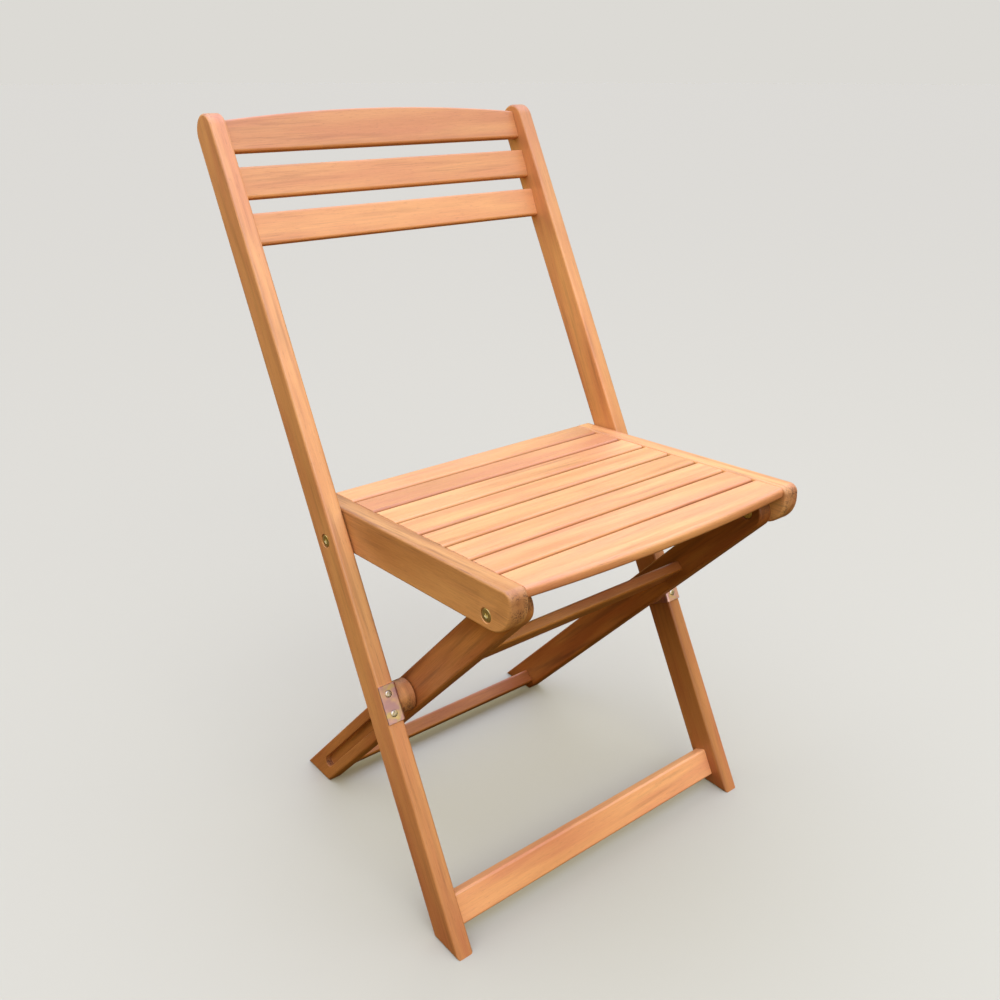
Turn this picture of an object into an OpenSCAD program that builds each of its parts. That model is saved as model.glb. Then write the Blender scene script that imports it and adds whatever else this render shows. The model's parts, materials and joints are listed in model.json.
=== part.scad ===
// Folding slatted garden chair: two leaning stiles, a slatted seat hinged between
// them, and a rear leg frame hinged under the front of the seat. X runs across the
// chair, the sitter faces -Y, and Z = 0 is the floor. Left is -X, as seen from the front.

/* [Overall] */
// Width over the outer faces of the two stiles
chair_w = 460; // [400:5:540]
// Length of a stile along its front face, from the floor to its rounded top
stile_len = 960; // [935:1:1000]
// Angle between a stile and the vertical
stile_lean = 27.6; // [25:0.1:29]

/* [Timber] */
// Thickness of a stile across the chair
stile_t = 20; // [18:1:24]
// Depth of a stile from its front face to its back face
stile_d = 40; // [38:1:44]
// Thickness of a seat rail across the chair
rail_t = 22; // [18:1:26]
// Height of a seat rail
rail_h = 48.5; // [47:0.5:54]
// Thickness of a rear leg across the chair
leg_t = 20; // [20:1:24]
// Depth of a rear leg between its two edges
leg_d = 40; // [34:1:40]
// Radius of the rounded long edges
arris_r = 3; // [1:0.5:4]

/* [Seat] */
// Height of the seat pivots along the stiles
seat_pivot_s = 471; // [460:1:480]
// Distance from the seat pivots to the leg pivots along the rails
pivot_span = 256; // [250:1:260]
// Angle between the seat and the floor, with the front edge higher
seat_tilt = 3; // [0:0.5:6]
// Length of the rails in front of the leg pivots
nose_len = 37; // [34:1:44]
// Length of the rails behind the seat pivots
tail_len = 50; // [49:1:54]
// Distance from the top of a rail down to its pivot line
pivot_drop = 34; // [34:0.5:36]
// Thickness of a seat slat
slat_t = 12; // [8:0.5:12]
// Width of a seat slat
slat_w = 38.5; // [34:0.5:40]
// Distance between the centres of neighbouring seat slats
slat_pitch = 42.5; // [42:0.1:43]
// Length of the slatted seat in front of the leg pivots, at the rails
slat_front = 32.5; // [31:0.5:34]
// How far the bowed front edge of the first slat swells forward
bow_rise = 10; // [4:1:14]

/* [Back] */
// Height of the lowest back slat along the stiles
back_s = 809; // [800:0.5:815]
// Distance of the lowest back slat behind the front faces of the stiles
back_set = 24; // [22:0.5:25]
// Angle between the plane of the back slats and the stiles
back_tilt = 4.6; // [3:0.1:5]
// Width of a back slat
back_slat_w = 36; // [30:0.5:38]
// Distance between the lower edges of neighbouring back slats
back_pitch = 53; // [50:0.5:54]
// Height of the arch on the top slat
arch_rise = 10; // [4:1:14]

/* [Rear legs] */
// Height of the guide pins along the stiles
guide_s = 283; // [278:1:290]
// Distance from the leg pivots to the upper rear stretcher
upper_str_y = 134; // [120:1:150]
// Distance from the leg pivots to the lower rear stretcher
lower_str_y = 540; // [520:1:541]
// Width of the guide grooves
groove_w = 14; // [13:0.5:18]
// Depth of the guide grooves
groove_depth = 8; // [4:0.5:9]

/* [Hardware] */
// Diameter of the bolt heads and nut heads
head_dia = 14; // [12:0.5:16]
// Diameter of the bolt shanks
shank_dia = 6; // [5:0.5:6]
// Diameter of the nut sleeves, which are the hinge pins
sleeve_dia = 8; // [8:0.5:10]
// Radial clearance of a hinge pin in its bore
pin_clear = 0.05; // [0.02:0.01:0.1]
// Diameter of the guide pins
guide_dia = 12; // [10:0.5:12]
// Diameter of the wooden spacers on the guide pins
spacer_dia = 37; // [34:1:40]
// Thickness of the steel brackets
plate_t = 2; // [1.5:0.1:2.5]
// Length of the brackets along the stiles
plate_len = 42; // [38:1:50]

/* [Hidden] */

$fn = 64;
stile_wood = "#B9783C";
seat_wood = "#E3A471";
leg_wood = "#9A5A2C";
zinc = "#CDB9A2";
brass = "#B59A55";

washer_t = 1;
washer_dia = 22;
slat_recess = 1;
slack = 0.1;
skin = 0.5;
head_t = 2.5;
seat_depth = 3;
socket_af = 5;
socket_depth = 1.6;
tenon_len = 10;
tenon_t = 6;
tenon_shoulder = 5;
screw_dia = 4;
screw_head_dia = 8;
screw_len = 18;
screw_inset = 10;
cross_w = 1.2;
cross_depth = 1.4;
flange_d = 32;
front_str_s = 25;
front_str_w = 35;
front_str_set = 15.5;
front_str_t = 18;
upper_str_size = [40, 13];
upper_str_z = -3.2;
lower_str_size = [21, 19];
lower_str_z = -4;
groove_spare = 4;
nose_top_r = 10;
nose_low_r = 33;
tail_r = 8;
arch_fn = 720;
far = 700;

// Layers across the right half of the chair, from the outer face inwards
x_stile_out = chair_w / 2;
x_stile_in = x_stile_out - stile_t;
x_rail_out = x_stile_in - washer_t;
x_rail_in = x_rail_out - rail_t;
x_leg_out = x_rail_in - washer_t;
x_leg_in = x_leg_out - leg_t;
x_spacer_in = x_leg_out + washer_t;

// Side view, as [y, z] from the point where the front face of a stile meets the floor
function along_stile(s, d) = [s * sin(stile_lean) + d * cos(stile_lean),
                              s * cos(stile_lean) - d * sin(stile_lean)];
function ahead_on_seat(p, u) = [p.x - u * cos(seat_tilt), p.y + u * sin(seat_tilt)];
seat_pivot = along_stile(seat_pivot_s, stile_d / 2);
guide_pin = along_stile(guide_s, stile_d / 2);
leg_pivot = ahead_on_seat(seat_pivot, pivot_span);
leg_angle = atan2(leg_pivot.y - guide_pin.y, guide_pin.x - leg_pivot.x);
open_reach = norm(guide_pin - leg_pivot);
fold_reach = pivot_span + seat_pivot_s - guide_s;
top_end = along_stile(stile_len - stile_d / 2, stile_d / 2);
nose_y = -pivot_span - nose_len;
seat_front_y = -pivot_span - slat_front;
slat_z = pivot_drop - slat_recess - slat_t;
front_y = ahead_on_seat(seat_pivot, bow_rise - seat_front_y).x + slat_z * sin(seat_tilt);
back_y = top_end.x + stile_d / 2;
y_mid = (front_y + back_y) / 2;

module place(p) translate([0, p.x - y_mid, p.y]) children();
module on_stile() place([0, 0]) rotate([-stile_lean, 0, 0]) children();
module on_back() on_stile() translate([0, back_set, back_s]) rotate([back_tilt, 0, 0]) children();
module on_seat() place(seat_pivot) rotate([-seat_tilt, 0, 0]) children();
module on_leg() place(leg_pivot) rotate([-leg_angle, 0, 0]) children();
module at_guide() on_stile() translate([0, stile_d / 2, guide_s]) children();
module left() mirror([1, 0, 0]) children();
module above_floor() translate([-far, -far, 0]) cube([2 * far, 2 * far, 2 * far]);

// A side view outline in Y and Z, made into a plate from x to x + t
module plate(x, t) translate([x, 0, 0]) rotate([90, 0, 90]) linear_extrude(t) children();

// A cylinder along X from x0 to x1
module rod(x0, x1, dia) translate([x0, 0, 0]) rotate([0, 90, 0]) cylinder(h = x1 - x0, d = dia);

module rounded_rect(size, r) {
    translate([r, 0]) square([size.x - 2 * r, size.y]);
    translate([0, r]) square([size.x, size.y - 2 * r]);
    for (x = [r, size.x - r], y = [r, size.y - r]) translate([x, y]) circle(r);
}

// A bar across the chair, its section from [y, z] upwards, with a tenon at each end
module cross_bar(x_end, corner, size, grow = 0) {
    if (grow == 0)
        plate(-x_end, 2 * x_end) translate(corner) rounded_rect(size, arris_r);
    cross_tenons(x_end, corner, size, grow);
}

// The tenons of a cross bar, grown by the slack when they cut their mortises
module cross_tenons(x_end, corner, size, grow) {
    cheek = size.x < size.y ? [tenon_t, size.y - 2 * tenon_shoulder]
                            : [size.x - 2 * tenon_shoulder, tenon_t];
    body = cheek + [2 * grow, 2 * grow];
    reach = x_end + tenon_len + grow * 5;
    translate([-reach, corner.x + (size.x - body.x) / 2, corner.y + (size.y - body.y) / 2])
        cube([2 * reach, body.x, body.y]);
}

module back_bar(i, grow = 0)
    cross_bar(x_stile_in, [0, i * back_pitch], [slat_t, back_slat_w], grow);

module front_bar(grow = 0)
    cross_bar(x_stile_in, [front_str_set, front_str_s], [front_str_t, front_str_w], grow);

module seat_bar(k, grow = 0)
    cross_bar(x_rail_in, [seat_front_y + (k - 1) * slat_pitch, slat_z], [slat_w, slat_t], grow);

// A board in X and Y across the chair: one long edge at y = 0, the other arched from width
// at its ends to width + rise in its middle
module arched_board(x_end, width, rise, t) linear_extrude(t) intersection() {
    arch_r = (pow(x_end, 2) + pow(rise, 2)) / (2 * rise);
    translate([-x_end, 0]) square([2 * x_end, width + rise]);
    translate([0, width + rise - arch_r]) circle(arch_r, $fn = arch_fn);
}

module upper_bar(grow = 0)
    cross_bar(x_leg_in, [upper_str_y, upper_str_z - upper_str_size.y / 2], upper_str_size, grow);

module lower_bar(grow = 0)
    cross_bar(x_leg_in, [lower_str_y, lower_str_z - lower_str_size.y / 2], lower_str_size, grow);

// Head of a bolt or nut: its outer face is at x = 0 and it points to +X
module head() difference() {
    rod(-head_t, 0, head_dia);
    translate([-socket_depth, 0, 0]) rotate([0, 90, 0])
        cylinder(h = far, d = socket_af / cos(30), $fn = 6);
}

// Counterbore for a head, cut into a face at x = 0 that looks to +X
module head_seat() rod(-seat_depth, far / 10, head_dia + 1);

// Bolt with its head towards +X at x_face, reaching in to x_tip
module bolt(x_face, x_tip) color(brass) {
    translate([x_face - seat_depth + head_t, 0, 0]) head();
    rod(x_tip, x_face - seat_depth, shank_dia);
}

// Sleeve nut with its head towards -X at x_face, reaching out to x_tip
module sleeve_nut(x_face, x_tip) color(brass) difference() {
    union() {
        translate([x_face + seat_depth - head_t, 0, 0]) mirror([1, 0, 0]) head();
        rod(x_face + seat_depth, x_tip, sleeve_dia);
    }
    rod(x_face + seat_depth + skin, far, shank_dia);
}

module washer(x0) color(zinc) difference() {
    rod(x0, x0 + washer_t, washer_dia);
    rod(x0 - 1, x0 + washer_t + 1, sleeve_dia + 4 * slack);
}

module stile() color(stile_wood) difference() {
    intersection() {
        above_floor();
        on_stile() translate([x_stile_in, 0, -stile_d])
            linear_extrude(stile_len + stile_d) rounded_rect([stile_t, stile_d], arris_r);
        on_stile() plate(x_stile_in, stile_t) {
            translate([0, -stile_d]) square([stile_d, stile_len + stile_d / 2]);
            translate([stile_d / 2, stile_len - stile_d / 2]) circle(d = stile_d);
        }
    }
    on_back() for (i = [0:2]) back_bar(i, slack);
    on_stile() front_bar(slack);
    on_seat() {
        rod(x_stile_in - 1, x_stile_out, shank_dia);
        translate([x_stile_out, 0, 0]) head_seat();
    }
    for (side = [-1, 1]) at_screw(side) rotate([-90, 0, 0])
        cylinder(h = screw_len, d = screw_dia);
}

module back_slat(i) color(seat_wood) on_back() back_bar(i);

// Top slat, with an arched upper edge
module top_back_slat() color(seat_wood) on_back() {
    low = 2 * back_pitch;
    cross_tenons(x_stile_in, [0, low], [slat_t, back_slat_w], 0);
    translate([0, slat_t, low]) rotate([90, 0, 0])
        arched_board(x_stile_in, back_slat_w, arch_rise, slat_t);
}

module front_stretcher() color(stile_wood) on_stile() front_bar();

// Frame of a bracket screw: its axis is +Y, from the outer face of the bracket
module at_screw(side) at_guide()
    translate([x_stile_in + stile_t / 2, -stile_d / 2 - plate_t,
        side * (plate_len / 2 - screw_inset)]) children();

module bracket() color(zinc) difference() {
    at_guide() {
        translate([x_stile_in - plate_t, -stile_d / 2 - plate_t, -plate_len / 2])
            cube([stile_t + plate_t, plate_t, plate_len]);
        translate([x_stile_in - plate_t, -stile_d / 2 - plate_t, -plate_len / 2])
            cube([plate_t, flange_d + plate_t, plate_len]);
    }
    at_guide() rod(x_stile_in - plate_t - 1, x_stile_in + 1, guide_dia);
    for (side = [-1, 1]) at_screw(side) screw_body();
}

module screw_body() rotate([-90, 0, 0]) {
    cylinder(h = screw_len, d = screw_dia);
    cylinder(h = plate_t, d1 = screw_head_dia, d2 = screw_dia);
}

module screw(side) color(zinc) at_screw(side) difference() {
    screw_body();
    for (turn = [0, 90]) rotate([0, turn, 0])
        translate([-screw_head_dia / 3, -1, -cross_w / 2])
            cube([screw_head_dia * 2 / 3, 1 + cross_depth, cross_w]);
}

module spacer() color(leg_wood) at_guide() difference() {
    rod(x_spacer_in, x_stile_in - plate_t, spacer_dia);
    rod(x_spacer_in - 1, x_stile_in, guide_dia);
}

// Guide pin: it ends just short of the leg, so that the folding leg frame clears it
module guide_pin_rod() color(zinc) at_guide()
    rod(x_spacer_in - washer_t / 2, x_stile_in, guide_dia);

module rail_outline() {
    low_z = pivot_drop - rail_h;
    top_z = pivot_drop;
    translate([nose_y + nose_low_r, low_z]) square([tail_len - tail_r - nose_y - nose_low_r, rail_h]);
    translate([nose_y + nose_low_r, low_z + nose_low_r]) circle(nose_low_r);
    translate([nose_y + nose_top_r, low_z + nose_low_r])
        square([nose_low_r, rail_h - nose_low_r]);
    translate([nose_y, low_z + nose_low_r])
        square([nose_top_r, rail_h - nose_low_r - nose_top_r]);
    translate([nose_y + nose_top_r, top_z - nose_top_r]) circle(nose_top_r);
    translate([tail_len - 2 * tail_r, low_z + tail_r]) square([2 * tail_r, rail_h - 2 * tail_r]);
    for (z = [low_z + tail_r, top_z - tail_r]) translate([tail_len - tail_r, z]) circle(tail_r);
}

module rail() color(seat_wood) on_seat() difference() {
    intersection() {
        plate(x_rail_in, rail_t) rail_outline();
        translate([x_rail_in, tail_len, pivot_drop - rail_h]) rotate([90, 0, 0])
            linear_extrude(tail_len - nose_y) rounded_rect([rail_t, rail_h], arris_r);
    }
    for (k = [1:8]) seat_bar(k, slack);
    rod(x_rail_in - 1, x_rail_out + 1, sleeve_dia + 2 * pin_clear);
    translate([x_rail_in, 0, 0]) mirror([1, 0, 0]) head_seat();
    translate([0, -pivot_span, 0]) {
        rod(x_rail_in - 1, x_rail_out, shank_dia);
        translate([x_rail_out, 0, 0]) head_seat();
    }
}

module seat_slat(k) color(seat_wood) on_seat() seat_bar(k);

// First seat slat, with its front edge bowed forward
module front_seat_slat() color(seat_wood) on_seat() {
    cross_tenons(x_rail_in, [seat_front_y, slat_z], [slat_w, slat_t], 0);
    translate([0, seat_front_y + slat_w, slat_z]) mirror([0, 1, 0])
        arched_board(x_rail_in, slat_w, bow_rise, slat_t);
}

module at_leg_pivot() on_seat() translate([0, -pivot_span, 0]) children();

module rear_leg() color(leg_wood) difference() {
    intersection() {
        above_floor();
        on_leg() plate(x_leg_in, leg_t) {
            circle(d = leg_d);
            translate([0, -leg_d / 2]) square([far, leg_d]);
        }
        on_leg() translate([x_leg_in, far, -leg_d / 2]) rotate([90, 0, 0])
            linear_extrude(far + leg_d) rounded_rect([leg_t, leg_d], arris_r);
    }
    on_leg() {
        upper_bar(slack);
        lower_bar(slack);
        rod(x_leg_in - 1, x_leg_out + 1, sleeve_dia + 2 * pin_clear);
        translate([x_leg_in, 0, 0]) mirror([1, 0, 0]) head_seat();
        plate(x_leg_out - groove_depth, groove_depth + 1) groove_outline();
    }
}

// Guide groove, from the pin of the open chair to past the pin of the folded one
module groove_outline() {
    last = fold_reach + groove_spare;
    for (y = [open_reach, last]) translate([y, 0]) circle(d = groove_w);
    translate([open_reach, -groove_w / 2]) square([last - open_reach, groove_w]);
}

module upper_rear_stretcher() color(leg_wood) on_leg() upper_bar();
module lower_rear_stretcher() color(leg_wood) on_leg() lower_bar();

module seat_bolt() on_seat() bolt(x_stile_out, x_rail_in + seat_depth + 1);
module seat_nut() on_seat() sleeve_nut(x_rail_in, x_stile_in);
module seat_washer() on_seat() washer(x_rail_out);
module leg_bolt() at_leg_pivot() bolt(x_rail_out, x_leg_in + seat_depth + 1);
module leg_nut() at_leg_pivot() sleeve_nut(x_leg_in, x_rail_in);
module leg_washer() at_leg_pivot() washer(x_leg_out);

left() stile();  // left_stile
stile();  // right_stile
back_slat(0);  // back_slat_bottom
back_slat(1);  // back_slat_middle
top_back_slat();  // back_slat_top
front_stretcher();
left() bracket();  // left_bracket
bracket();  // right_bracket
left() screw(1);  // left_screw_upper
left() screw(-1);  // left_screw_lower
screw(1);  // right_screw_upper
screw(-1);  // right_screw_lower
left() spacer();  // left_spacer
spacer();  // right_spacer
left() guide_pin_rod();  // left_guide_pin
guide_pin_rod();  // right_guide_pin
left() seat_bolt();  // left_seat_bolt
seat_bolt();  // right_seat_bolt
left() seat_nut();  // left_seat_nut
seat_nut();  // right_seat_nut
left() seat_washer();  // left_seat_washer
seat_washer();  // right_seat_washer
left() rail();  // left_rail
rail();  // right_rail
front_seat_slat();  // seat_slat_1
seat_slat(2);  // seat_slat_2
seat_slat(3);  // seat_slat_3
seat_slat(4);  // seat_slat_4
seat_slat(5);  // seat_slat_5
seat_slat(6);  // seat_slat_6
seat_slat(7);  // seat_slat_7
seat_slat(8);  // seat_slat_8
left() leg_bolt();  // left_leg_bolt
leg_bolt();  // right_leg_bolt
left() leg_nut();  // left_leg_nut
leg_nut();  // right_leg_nut
left() leg_washer();  // left_leg_washer
leg_washer();  // right_leg_washer
left() rear_leg();  // left_rear_leg
rear_leg();  // right_rear_leg
upper_rear_stretcher();
lower_rear_stretcher();
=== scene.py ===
# %% [markdown]
# # A folding slatted garden chair in oiled hardwood
#
# The chair is two leaning stiles, a slatted seat that hinges between them, and a frame of
# rear legs that hinges under the front of the seat. Its engineering model is already exact,
# so this lesson gives each stick and each fitting the surface that a maker would see: eased
# edges, cut joints, grain that runs along each stick, end grain where a stick is cut across,
# and plated steel and brass. The model is loaded first, and every size below is read from it.

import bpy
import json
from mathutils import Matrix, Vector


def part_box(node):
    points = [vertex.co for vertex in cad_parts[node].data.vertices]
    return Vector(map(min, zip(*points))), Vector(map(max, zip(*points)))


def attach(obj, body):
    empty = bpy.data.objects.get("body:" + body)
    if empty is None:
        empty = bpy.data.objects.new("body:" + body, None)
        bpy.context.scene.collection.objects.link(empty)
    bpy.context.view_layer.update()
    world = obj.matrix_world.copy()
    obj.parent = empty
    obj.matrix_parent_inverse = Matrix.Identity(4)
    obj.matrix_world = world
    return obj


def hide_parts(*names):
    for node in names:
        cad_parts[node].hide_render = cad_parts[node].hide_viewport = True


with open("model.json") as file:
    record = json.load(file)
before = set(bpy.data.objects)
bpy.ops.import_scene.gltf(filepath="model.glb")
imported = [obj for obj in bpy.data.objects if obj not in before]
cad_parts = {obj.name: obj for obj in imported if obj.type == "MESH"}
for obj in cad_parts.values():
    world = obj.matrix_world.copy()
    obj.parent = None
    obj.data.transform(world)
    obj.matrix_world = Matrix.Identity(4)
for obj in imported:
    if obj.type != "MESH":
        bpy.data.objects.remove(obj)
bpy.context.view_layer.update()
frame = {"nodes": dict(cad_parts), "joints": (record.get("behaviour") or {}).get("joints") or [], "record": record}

# %% Tools and units
import json
import math
import random

import bmesh
import bpy
from mathutils import Matrix, Vector

MM = 0.001
scene = bpy.context.scene
body_of_node = {
    node: body
    for body, nodes in frame["record"]["behaviour"]["bodies"].items()
    for node in nodes
}

# %% [markdown]
# ## Frames for the sticks
#
# A leaning stick is awkward to shape where it stands. Each group of sticks gets a frame of
# its own instead, with an axis along the stick, so that a stile or a rail is drawn square
# and then set in place by a matrix. The pivots of the chair fix all of these frames: both
# pins of a stile lie on its centre line, and so do the two pivots of a rail.

# %% Find the pivots and the frames that hang on them
pivot = {joint["name"]: Vector(joint["pos_m"]) for joint in frame["joints"]}


def middle(node):
    low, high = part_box(node)
    return (low + high) / 2


def side_frame(origin, angle):
    """A frame at this point of the side view, turned by this angle about X."""
    return Matrix.Translation((0, origin.y, origin.z)) @ Matrix.Rotation(angle, 4, "X")


def direction(start, end):
    """How far the line from start to end leans back from the vertical."""
    return math.atan2(end.y - start.y, end.z - start.z)


seat_pivot, leg_pivot = pivot["seat_fold"], pivot["leg_fold"]
guide = middle("left_guide_pin")
lean = direction(guide, seat_pivot)
seat_tilt = math.pi / 2 + direction(seat_pivot, leg_pivot)
leg_slope = direction(leg_pivot, guide) - math.pi / 2
back_lean = direction(middle("back_slat_bottom"), middle("back_slat_middle"))
on_stile = side_frame(seat_pivot, -lean)
on_seat = side_frame(seat_pivot, -seat_tilt)
on_leg = side_frame(leg_pivot, -leg_slope)
on_back = side_frame(middle("back_slat_bottom"), -back_lean)
for label, angle in (("stiles", lean), ("seat", seat_tilt), ("rear legs", leg_slope),
                     ("back slats", back_lean)):
    print(f"{label}: {math.degrees(angle):.1f} degrees")

# %% Measure a node in its own frame
def span(node, place):
    """Lowest and highest corner of a node in that frame, in millimetres."""
    inverse = place.inverted()
    points = [inverse @ v.co / MM for v in frame["nodes"][node].data.vertices]
    return [Vector([pick(p[i] for p in points) for i in range(3)]) for pick in (min, max)]


stile_low, stile_high = span("right_stile", on_stile)
rail_low, rail_high = span("right_rail", on_seat)
leg_low, leg_high = span("right_rear_leg", on_leg)
print("stile", [round(v, 1) for v in stile_high - stile_low],
      "rail", [round(v, 1) for v in rail_high - rail_low],
      "leg", [round(v, 1) for v in leg_high - leg_low])

# %% [markdown]
# ## Making meshes
#
# Three builders make every wooden and metal part here. A plate is a side view with rounded
# edges, for stiles, rails and legs. A bar is a rounded section drawn along X, for slats and
# stretchers, with a tenon at each end. A lathe turns a profile about X, for bolts, washers,
# spacers and also for the drills that cut bores. Drawing the rounding as rings of points
# keeps the faces even, which a bevel on a finished block would not.

# %% Turn points and faces into an object
ARRIS = 3.0  # rounding of the long edges, in mm, as in the engineering model
ARC_STEPS = 6


def make_object(name, points, faces, place):
    """An object at the origin with its points, in millimetres of that frame, in its mesh."""
    mesh = bpy.data.meshes.new(name)
    mesh.from_pydata([place @ (Vector(p) * MM) for p in points], [], faces)
    shell = bmesh.new()
    shell.from_mesh(mesh)
    bmesh.ops.remove_doubles(shell, verts=shell.verts, dist=1e-7)
    bmesh.ops.recalc_face_normals(shell, faces=shell.faces)
    shell.to_mesh(mesh)
    shell.free()
    piece = bpy.data.objects.new(name, mesh)
    scene.collection.objects.link(piece)
    return piece


def bridge(rings, closed=False):
    """Faces between rings of equal length, numbered one ring after the other."""
    count, size = len(rings), len(rings[0])
    pairs = [(i, (i + 1) % count) for i in range(count if closed else count - 1)]
    return [(a * size + k, a * size + (k + 1) % size, b * size + (k + 1) % size, b * size + k)
            for a, b in pairs for k in range(size)]


# %% A plate: a side view with rounded edges
def inset_directions(loop):
    """For each point of a closed side view, the step that moves it in by one millimetre."""
    steps = []
    for before, here, after in zip(loop[-1:] + loop[:-1], loop, loop[1:] + loop[:1]):
        normals = []
        for start, end in ((before, here), (here, after)):
            edge = (Vector(end) - Vector(start)).normalized()
            normals.append(Vector((-edge.y, edge.x)))
        steps.append((normals[0] + normals[1]) / (1 + normals[0].dot(normals[1])))
    return steps


def plate(name, upper, lower, tip, x_range, place):
    """upper and lower are equal chains of (y, z) from one end to the other, and tip is the
    point that closes a round end. Both sides are ladders of faces between the chains."""
    loop = lower + ([tip] if tip else []) + upper[::-1]
    area = sum(a[0] * b[1] - b[0] * a[1] for a, b in zip(loop, loop[1:] + loop[:1]))
    turn = 1 if area > 0 else -1
    steps = [turn * s for s in inset_directions(loop)]
    rings = []
    for side in (0, 1):
        for i in range(ARC_STEPS + 1):
            angle = math.radians(90) * (i if side else ARC_STEPS - i) / ARC_STEPS
            depth = ARRIS * (1 - math.sin(angle))
            x = x_range[1] - depth if side else x_range[0] + depth
            moved = [Vector(p) + s * ARRIS * (1 - math.cos(angle)) for p, s in zip(loop, steps)]
            rings.append([(x, y, z) for y, z in moved])
    size, n = len(loop), len(upper)
    faces = bridge(rings)
    for base in (0, (len(rings) - 1) * size):
        last = base + size - 1
        faces += [(base + i, base + i + 1, last - i - 1, last - i) for i in range(n - 1)]
        if tip:
            faces.append((base + n - 1, base + n, base + n + 1))
    return make_object(name, [p for ring in rings for p in ring], faces, place)


# %% A bar: a rounded section drawn along X, with tenons
def section(y0, y1, z0, z1, radii):
    """A rounded rectangle in Y and Z with its own radius at each corner, always with the
    same number of points, so that any two sections can be joined."""
    corners = ((y1, z1, 0, -1, -1), (y0, z1, 90, 1, -1), (y0, z0, 180, 1, 1),
               (y1, z0, 270, -1, 1))
    points = []
    for (y, z, start, sy, sz), r in zip(corners, radii):
        for i in range(ARC_STEPS + 1):
            a = math.radians(start + 90 * i / ARC_STEPS)
            points.append((y + sy * r + r * math.cos(a), z + sz * r + r * math.sin(a)))
    return points


END_EASE = 0.5    # chamfer where a bar meets the stick that holds it
TENON_EDGE = 0.4  # rounding of the edges of a tenon
STATION_MM = 18   # distance between the sections of a bar


def bar(name, x_end, size_at, tenon, place, radii=(ARRIS,) * 4):
    """size_at(x) gives the section's (y0, y1, z0, z1) at x, and tenon is (reach, y0, y1,
    z0, z1)."""
    count = round(2 * (x_end - END_EASE) / STATION_MM)
    stations = [(-1 + 2 * i / count) * (x_end - END_EASE) for i in range(count + 1)]
    y0, y1, z0, z1 = size_at(x_end)
    shoulder = section(y0 + END_EASE, y1 - END_EASE, z0 + END_EASE, z1 - END_EASE,
                       [r - END_EASE for r in radii])
    reach, *sides = tenon
    edges = (TENON_EDGE,) * 4
    stub = section(*sides, edges)
    tip = section(*(s + (END_EASE if i % 2 == 0 else -END_EASE) for i, s in enumerate(sides)),
                  edges)
    ends = [(x_end, shoulder), (x_end, stub), (reach - END_EASE, stub), (reach, tip)]
    rings = [[(-x, y, z) for y, z in shape] for x, shape in ends[::-1]]
    rings += [[(x, y, z) for y, z in section(*size_at(x), radii)] for x in stations]
    rings += [[(x, y, z) for y, z in shape] for x, shape in ends]
    size = len(rings[0])
    last = (len(rings) - 1) * size
    faces = bridge(rings) + [tuple(range(size)), tuple(range(last, last + size))]
    return make_object(name, [p for ring in rings for p in ring], faces, place)


# %% A lathe: a profile turned about X
def polygon_radius(angle, radius, sides):
    """How far a regular polygon reaches at this angle: sides 0 stands for a circle."""
    if not sides:
        return radius
    part = math.tau / sides
    return radius / math.cos((angle + part / 2) % part - part / 2)


def lathe(name, profile, place, closed=False, turns=72):
    """profile is a list of (x, radius) or (x, radius, sides). A radius of 0 closes an end."""
    rings = []
    for x, radius, *sides in profile:
        ring = []
        for k in range(turns):
            a = math.tau * k / turns
            r = polygon_radius(a, radius, sides[0] if sides else 0)
            ring.append((x, r * math.cos(a), r * math.sin(a)))
        rings.append(ring)
    faces = bridge(rings, closed)
    return make_object(name, [p for ring in rings for p in ring], faces, place)


# %% Cut joints and bores, then settle the surface
def block(name, low, high, place):
    """A cutter with square edges, for a mortise."""
    corners = [(x, y, z) for x in (low[0], high[0]) for y in (low[1], high[1])
               for z in (low[2], high[2])]
    faces = [(0, 1, 3, 2), (4, 6, 7, 5), (0, 4, 5, 1), (2, 3, 7, 6), (0, 2, 6, 4), (1, 5, 7, 3)]
    return make_object(name, corners, faces, place)


def settle(piece):
    """Applies the modifiers of a piece to its mesh."""
    now = bpy.context.evaluated_depsgraph_get()
    made = bpy.data.meshes.new_from_object(piece.evaluated_get(now), depsgraph=now)
    piece.modifiers.clear()
    old, piece.data = piece.data, made
    bpy.data.meshes.remove(old)
    made.name = piece.name


def cut(piece, cutters):
    """Takes the cutters out of a piece and removes them."""
    for cutter in cutters:
        carve = piece.modifiers.new("cut", "BOOLEAN")
        carve.object, carve.operation, carve.solver = cutter, "DIFFERENCE", "EXACT"
    settle(piece)
    for cutter in cutters:
        bpy.data.objects.remove(cutter)


def smooth(piece, sharp_over=32):
    """Rounded edges shade smoothly while flat faces stay flat, because each normal is
    weighted by the size of its faces."""
    piece.data.shade_smooth()
    piece.data.set_sharp_from_angle(angle=math.radians(sharp_over))
    weigh = piece.modifiers.new("weigh", "WEIGHTED_NORMAL")
    weigh.keep_sharp, weigh.weight = True, 60
    settle(piece)


# %% [markdown]
# ## Wood that knows where it grew
#
# A stick is sawn from a tree, so its pattern is a slice of one solid: rings about the heart
# and fibres along the trunk. Each point of a stick therefore stores its place in the tree,
# in millimetres, as an attribute that its material reads. Every stick gets a seat of its own
# in the tree from a seeded draw, so that no two look the same, and a slight slope to the
# trunk, which draws the rings out into long streaks. A second attribute says how far a face
# looks along the fibres, because end grain takes up more oil and turns darker. Two more hold
# the tone of the stick, which may drift along it through a short list of values. The drift
# stands for two things: no stick has one colour from end to end, and outdoor light and shade
# fall unevenly on a chair, which plain studio light does not do. The second part belongs to
# the light rather than to the wood, so it is the part to flatten if the chair is relit.

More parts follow.
